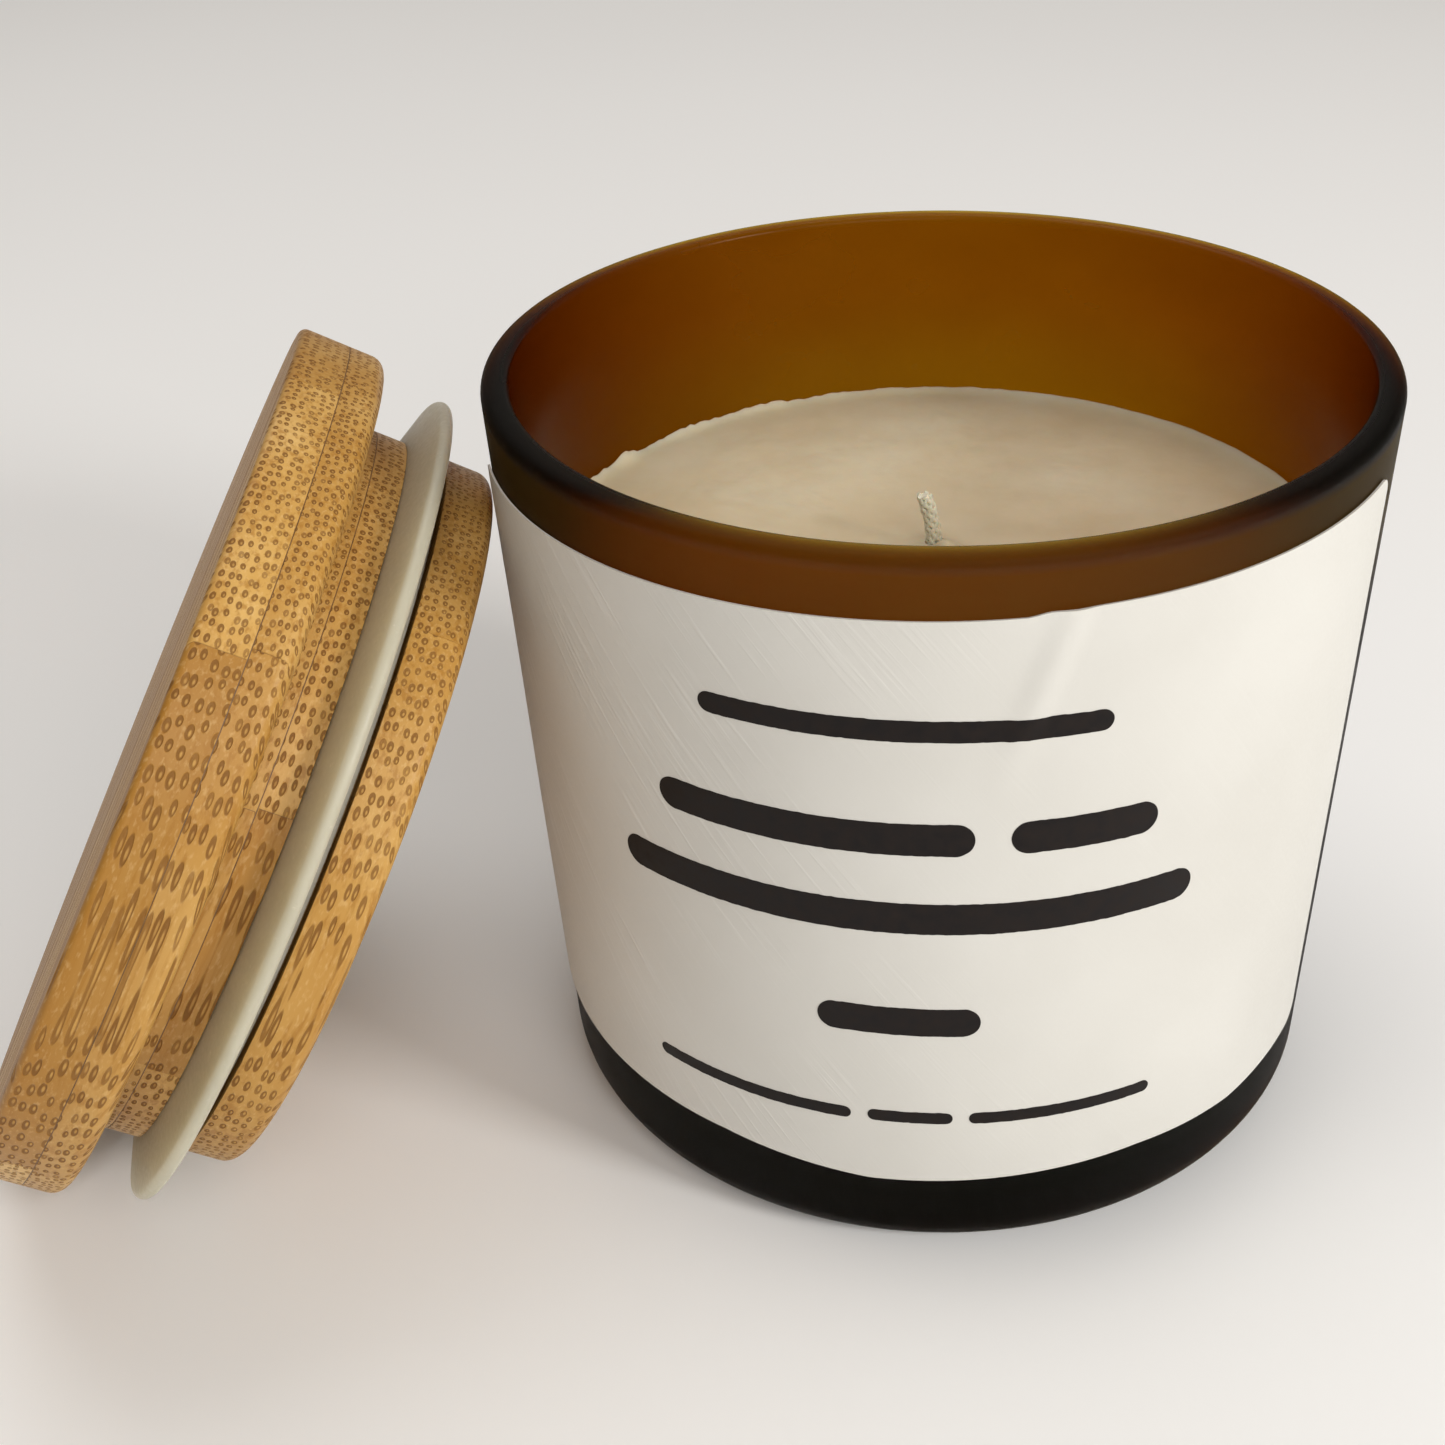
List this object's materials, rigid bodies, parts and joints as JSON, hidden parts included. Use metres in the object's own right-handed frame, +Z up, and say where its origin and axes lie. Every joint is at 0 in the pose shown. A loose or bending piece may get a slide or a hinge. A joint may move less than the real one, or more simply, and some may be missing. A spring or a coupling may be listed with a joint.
{
  "type": "candle jar with lid",
  "caption": "Frosted amber glass candle jar with a white label, filled with wax, its bamboo lid with a silicone seal leaning on its side.",
  "frame": {"origin": "centre of the jar's flat underside, on the surface it stands on", "axes": "+Z up along the jar's own axis; -Y towards the label, the jar's front; the lid leans on the jar's -X side"},
  "size_m": [0.1149, 0.0838, 0.0658],
  "materials": {
    "jar_glass": "matte frosted amber glass, charcoal at the rim",
    "front_label": "matte white film with fine slanting creases",
    "wax_fill": "cream wax, softly translucent",
    "wick": "unburnt braided cotton coated with wax",
    "wick_sustainer": "thin tinned sheet",
    "sustainer_pad": "soft adhesive foam",
    "lid_ply1_strip1": "sanded bamboo, satin, dark fibre dots on the end grain",
    "lid_ply1_strip2": "sanded bamboo, satin, dark fibre dots on the end grain",
    "lid_ply1_strip3": "sanded bamboo, satin, dark fibre dots on the end grain",
    "lid_ply1_strip4": "sanded bamboo, satin, dark fibre dots on the end grain",
    "lid_ply2_strip1": "sanded bamboo, satin, dark fibre dots on the end grain",
    "lid_ply2_strip2": "sanded bamboo, satin, dark fibre dots on the end grain",
    "lid_ply2_strip3": "sanded bamboo, satin, dark fibre dots on the end grain",
    "lid_ply2_strip4": "sanded bamboo, satin, dark fibre dots on the end grain",
    "lid_ply3_strip1": "sanded bamboo, satin, dark fibre dots on the end grain",
    "lid_ply3_strip2": "sanded bamboo, satin, dark fibre dots on the end grain",
    "lid_ply3_strip3": "sanded bamboo, satin, dark fibre dots on the end grain",
    "lid_ply3_strip4": "sanded bamboo, satin, dark fibre dots on the end grain",
    "lid_ply4_strip1": "sanded bamboo, satin, dark fibre dots on the end grain",
    "lid_ply4_strip2": "sanded bamboo, satin, dark fibre dots on the end grain",
    "lid_ply4_strip3": "sanded bamboo, satin, dark fibre dots on the end grain",
    "seal_ring": "translucent silicone, satin"
  },
  "bodies": {
    "jar": {"jar_glass": "jar_glass", "front_label": "front_label", "wax_fill": "wax_fill", "wick": "wick", "wick_sustainer": "wick_sustainer", "sustainer_pad": "sustainer_pad"},
    "lid": {"lid_ply1_strip1": "lid_ply1_strip1", "lid_ply1_strip2": "lid_ply1_strip2", "lid_ply1_strip3": "lid_ply1_strip3", "lid_ply1_strip4": "lid_ply1_strip4", "lid_ply2_strip1": "lid_ply2_strip1", "lid_ply2_strip2": "lid_ply2_strip2", "lid_ply2_strip3": "lid_ply2_strip3", "lid_ply2_strip4": "lid_ply2_strip4", "lid_ply3_strip1": "lid_ply3_strip1", "lid_ply3_strip2": "lid_ply3_strip2", "lid_ply3_strip3": "lid_ply3_strip3", "lid_ply3_strip4": "lid_ply3_strip4", "lid_ply4_strip1": "lid_ply4_strip1", "lid_ply4_strip2": "lid_ply4_strip2", "lid_ply4_strip3": "lid_ply4_strip3", "seal_ring": "seal_ring"}
  },
  "joints": [
    {"name": "lid_lift", "type": "slide", "parent": "jar", "child": "lid", "axis": [-0.2052, -0.0336, 0.9781], "range_m": [0, 0.08]}
  ]
}
